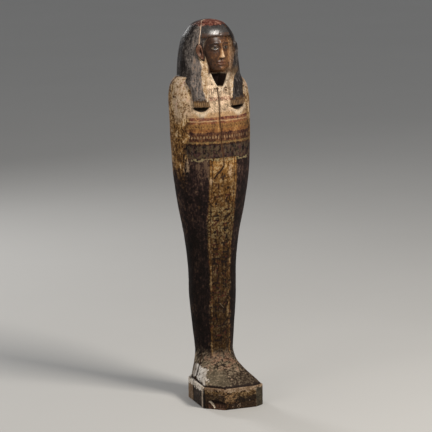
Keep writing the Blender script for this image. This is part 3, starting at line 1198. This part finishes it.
    # face and neck
    bared = stored(at, "raised") * 0.19 + (arc - 2) * 0.012
    skin_paint = paint_of((mottle - 0.5) * 0.65 + 0.33 + bared, SKIN)
    eye = stored(at, "eye_gap")
    skin_paint = mix(stored(at, "lip_gap").over(0, 0.8) * 0.5, skin_paint, (0.12, 0.036, 0.018))
    skin_paint = mix(abs(eye).under(0.55, 0.4), skin_paint, DARK)
    skin_paint = mix(eye.over(0.2, 0.3), skin_paint, (0.11, 0.075, 0.045))
    iris = eye.over(0.2, 0.3) * stored(at, "iris_gap").over(0, 0.3)
    skin_paint = mix(iris, skin_paint, BLACK)
    brow = (stored(at, "brow_gap") + jitter).over(0, 0.5)
    skin_paint = mix(brow * 0.85, skin_paint, DARK)
    on_face = stored(at, "on_face")
    paint = mix(on_face, paint, skin_paint)
    border = stored(at, "pit_gap").within(-3.2, -0.6, 0.5) * height.within(509, 538, 1)
    border = border * (1 - on_face) * opening.under(0, 1)
    paint = mix(border * mottle.over(0.2, 0.2) * 0.8, paint, (0.82, 0.67, 0.50))
    throat = stored(at, "pit_gap").over(0, 0.8) * (1 - on_face) * opening.under(0, 1)
    paint = mix(throat * height.within(515.5, 560, 1.5), paint, (0.008, 0.004, 0.003))
    ear_gap = stored(at, "ear_gap")
    ear_depth = stored(at, "ear_depth")
    near_side = turn.under(0, 1)
    ear = paint_of((mottle - 0.5) * 0.5 + ear_depth * 0.12, [
        (0.0, (0.030, 0.014, 0.009)), (0.4, (0.15, 0.068, 0.040)), (0.7, (0.34, 0.20, 0.135))])
    ear = mix(ear_depth.under(1.6, 1.6), ear, DARK)
    paint = mix(ear_gap.over(0, 0.6) * near_side, paint, ear)
    paint = mix(abs(ear_gap).under(0.6, 0.5) * near_side, paint, DARK)

    # wear: gesso and wood where paint has gone, cracks, dirt
    ridge = stored(at, "ridge_gap").over(-0.1, 0.5)
    paint = mix(ridge, paint, (0.54, 0.38, 0.27))
    worn = stored(at, "worn")
    gone = (worn + (mottle - 0.5) * 2.0).over(0.40, 0.6) * worn.over(0, 0.5)
    paint = mix(gone * 0.65, paint, mix(height.over(360, 20), (0.26, 0.17, 0.080),
                (0.58, 0.40, 0.25)))
    heel = (height + sway * 14).within(39, 58, 4)
    heel = heel * (turn + drift * 26 + (small - 0.5) * 6).within(-90, -35, 5)
    gesso = paint_of(mottle * 0.5 + slope * 0.6 + 0.05, [(0.2, (0.10, 0.075, 0.058)),
                     (0.45, (0.56, 0.49, 0.42)), (0.65, (0.95, 0.89, 0.82))])
    heel = (heel + (mottle - 0.5) * 0.7).over(0.42, 0.4) * heel.over(0.05, 0.1)
    gesso = times(gesso, mix(turn.over(-76, 5), (0.42, 0.38, 0.34), (1.0, 1.0, 1.0)))
    gesso = times(gesso, mix(turn.over(-48, 20), (1.0, 1.0, 1.0), (0.82, 0.78, 0.73)))
    paint = mix(heel, paint, gesso)
    chips = stored(at, "chips") + jitter * 0.10
    chipped = chips.over(0.03, 0.03) * (1 - on_face)
    paint = mix(chipped, paint, mix(height.over(440, 40), (0.055, 0.030, 0.018), WOOD))
    paint = mix(stored(at, "scratch_gap").under(0.3, 0.5) * 0.9, paint, (0.42, 0.34, 0.245))
    scoop = stored(at, "pocket_depth")
    paint = mix(stored(at, "pocket_rim") * 0.8 * mottle.over(0.2, 0.2), paint, (0.80, 0.66, 0.48))
    paint = mix(scoop.over(1.2, 0.9) * 0.97, paint, CRACK)
    clean = (broad * 0.5 + middling * 0.5).over(0.45, 0.4)
    paint = mix((1 - clean) * 0.22, paint, (0.020, 0.011, 0.007))
    net = cells(moved, 2.4, 1.5)
    crackle = net.under(0.05, 0.06)
    crackle = crackle * height.over(84, 10)
    paint = mix(crackle * 0.3 * middling.over(0.42, 0.2), paint, (0.045, 0.022, 0.012))
    crack = stored(at, "crack_gap")
    tan_part = height.within(398, 428, 5)
    paint = mix(crack.under(1.9, 1.8) * (0.25 + middling * 0.6), paint, (0.11, 0.053, 0.028))
    dirt = mix(tan_part, (0.018, 0.010, 0.007), (0.13, 0.062, 0.028))
    gaping = height.within(366, 392, 3) * 0.7 + height.under(64, 6) * 0.7
    paint = mix(crack.under(gaping + 0.5, 0.7) * 0.9, paint, dirt)
    feed(shader, "Base Color", paint)

    varnish = (panel * (0.45 + tresses)).most(on_face * 0.4).most(on_wig * 0.1)
    varnish = varnish.most(heel * 0.5) * (1 - chipped)
    feed(shader, "Coat Weight", varnish)
    shader.inputs["Coat Roughness"].default_value = 0.30
    feed(shader, "Roughness", 0.66 - on_wig * 0.12 + jitter * 0.25 + chipped * 0.15)
    shader.inputs["Specular IOR Level"].default_value = 0.10
    relief = fine * 0.5 + speck * 0.25 - crackle * 0.25 * (1 - on_face) + streak * 0.3
    relief = relief + small * 0.25 * (1 - on_face) - chipped * 0.5
    bump = relief.node("ShaderNodeBump", {}, {
        "Strength": 0.9, "Distance": 0.0009, "Height": relief})
    feed(shader, "Normal", bump)
    return material


figure.data.materials.append(painted_figure())
print("figure material:", len(figure.data.materials[0].node_tree.nodes), "nodes")


# %% The painted pedestal
def painted_pedestal():
    """Ochre and brown panels between cream rims, worn to gesso and bare wood."""
    material, shader = new_material("painted wood, pedestal")
    at = coordinates(material)
    height = at.node("ShaderNodeSeparateXYZ", {}, {0: at}, 2) * 1000
    moved = shaken(at, 2.5, 1.6)
    broad, middling = cloud(at, 24, 0.8), cloud(at, 8, 0.9, 4, 3.1)
    fine, speck = cloud(at, 2.8, 1.0, 5, 7.7), cloud(at, 1.3, 1.0, 3, 1.9)
    grain = cloud(at, 1.6, 14.0, 4, 2.2)
    flake, small = flakes(moved, 4.4, 0.8, 2.0), flakes(moved, 1.9, 0.9, 5.0)
    grains = flake * 0.14 + small * 0.18 + middling * 0.30 + fine * 0.24 + speck * 0.14
    mottle = (grains - 0.5) * 2.8 + 0.5
    # the same noises about 0, to move edges and heights by
    drift, sway, jitter, patch = (n - 0.5 for n in (middling, broad, fine, flake))
    z = height + drift * 5 + jitter * 3
    share = stored(at, "facet")
    front = share.over(-0.01, 0.02)
    chamfer = share.within(0.0, 1.0, 0.04)
    panel = paint_of((mottle - 0.5) * 1.2 + 0.5 + z.over(21, 8) * 0.08, faded(PANEL, 0.66))
    dark = (z + sway * 16).within(12, 21, 3) * front * (1 - chamfer)
    dark = dark * (1 - share.within(1.0, 1.45, 0.1) * 0.7)
    panel = mix(dark * 0.85, panel, (0.010, 0.006, 0.004))
    bright = share.within(0.75, 1.6, 0.15) * (z + drift * 12).within(13, 32, 4)
    panel = mix(bright * mottle.over(0.52, 0.2) * 0.8, panel, (0.30, 0.18, 0.085))
    panel = mix(chamfer * (z + sway * 20).within(8, 25, 4) * 0.6, panel,
                (0.014, 0.008, 0.006))
    strip = z.under(10.0, 1.2) * share.within(1.3, 2.9, 0.06)
    panel = mix(strip * 0.9, panel, paint_of(mottle * 0.6 + grain * 0.3, faded(RIM, 0.34)))
    panel = times(panel, mix(z.over(13, 7).most(strip * 0.15), (0.40, 0.33, 0.28), (1.0, 1.0, 1.0)))
    aside = paint_of(mottle * 0.8 + grain * 0.5 - 0.30, [
        (0.0, (0.008, 0.006, 0.004)), (0.35, (0.028, 0.018, 0.012)), (0.65, (0.078, 0.050, 0.034)),
        (0.9, (0.17, 0.12, 0.085))])
    behind = share.within(-3.0, -1.35, 0.03)
    aside = mix(behind * 0.85, aside, paint_of(mottle * 0.6 + grain * 0.3 + 0.05, faded(RIM, 1.1)))
    far_side = share.under(-3.0, 0.02)
    aside = mix(far_side * 0.7, aside, paint_of(mottle * 0.5 + grain * 0.5 - 0.1, [
        (0.0, (0.012, 0.010, 0.006)), (0.5, (0.075, 0.060, 0.036)), (0.9, (0.20, 0.16, 0.10))]))
    panel = mix(1 - front, panel, aside)
    heel_side = share.within(-3.0, 0.02, 0.06)
    rim = times(paint_of(mottle * 0.75 + 0.28, RIM),
                mix(chamfer, (0.92, 0.88, 0.84), (0.7, 0.62, 0.56)))
    rim = mix(heel_side, rim, paint_of(mottle * 0.5 + 0.48, [
        (0.3, (0.16, 0.11, 0.08)), (0.55, (0.60, 0.50, 0.40)), (0.8, (0.85, 0.77, 0.67))]))
    lip = (z + patch * 3 + share.over(1.0, 0.3) * 1.8).over(31.0, 1.5)
    lip = lip.most((z + patch * 4).over(26.5, 1.5) * heel_side)
    paint = mix(lip, panel, rim)
    corner = share.within(-0.20, -0.03, 0.05) * (z + patch * 6).under(40, 3)
    paint = mix(corner * mottle.over(0.2, 0.15), paint, (0.46, 0.36, 0.265))
    groove = share.within(-0.01, 0.10, 0.03) * z.under(31, 2)
    paint = mix(groove * 0.9, paint, CRACK)
    chips = stored(at, "chips") + jitter * 0.12
    paint = mix(chips.over(-0.02, 0.04) * (1 - lip * 0.6), paint, (0.30, 0.22, 0.15))
    paint = mix(chips.over(0.06, 0.03), paint, (0.11, 0.062, 0.036))
    bare = stored(at, "bare_gap") + jitter * 0.8
    low = z.under(8.0, 2.5)
    raw = mix(grain.over(0.5, 0.2), (0.030, 0.015, 0.010), (0.008, 0.004, 0.003))
    raw = mix(low, raw, mix(grain.over(0.5, 0.2), (0.19, 0.10, 0.060), (0.060, 0.028, 0.018)))
    raw = mix(stored(at, "splinter_gap").under(1.5, 0.8), raw, (0.80, 0.66, 0.50))
    paint = mix(bare.over(0, 0.6), paint, raw)
    net = cells(moved, 3.0)
    crackle = net.under(0.04, 0.04)
    paint = mix(crackle * 0.6, paint, (0.010, 0.006, 0.004))
    split = stored(at, "crack_gap")
    paint = mix(split.under(1.0, 0.7), paint, CRACK)
    feed(shader, "Base Color", paint)
    feed(shader, "Roughness", 0.70 + jitter * 0.3)
    shader.inputs["Specular IOR Level"].default_value = 0.15
    relief = fine * 0.6 + speck * 0.3 + grain * 0.4 - crackle * 0.3 + small * 0.25
    bump = relief.node("ShaderNodeBump", {}, {
        "Strength": 0.9, "Distance": 0.0010, "Height": relief})
    feed(shader, "Normal", bump)
    return material


pedestal.data.materials.append(painted_pedestal())
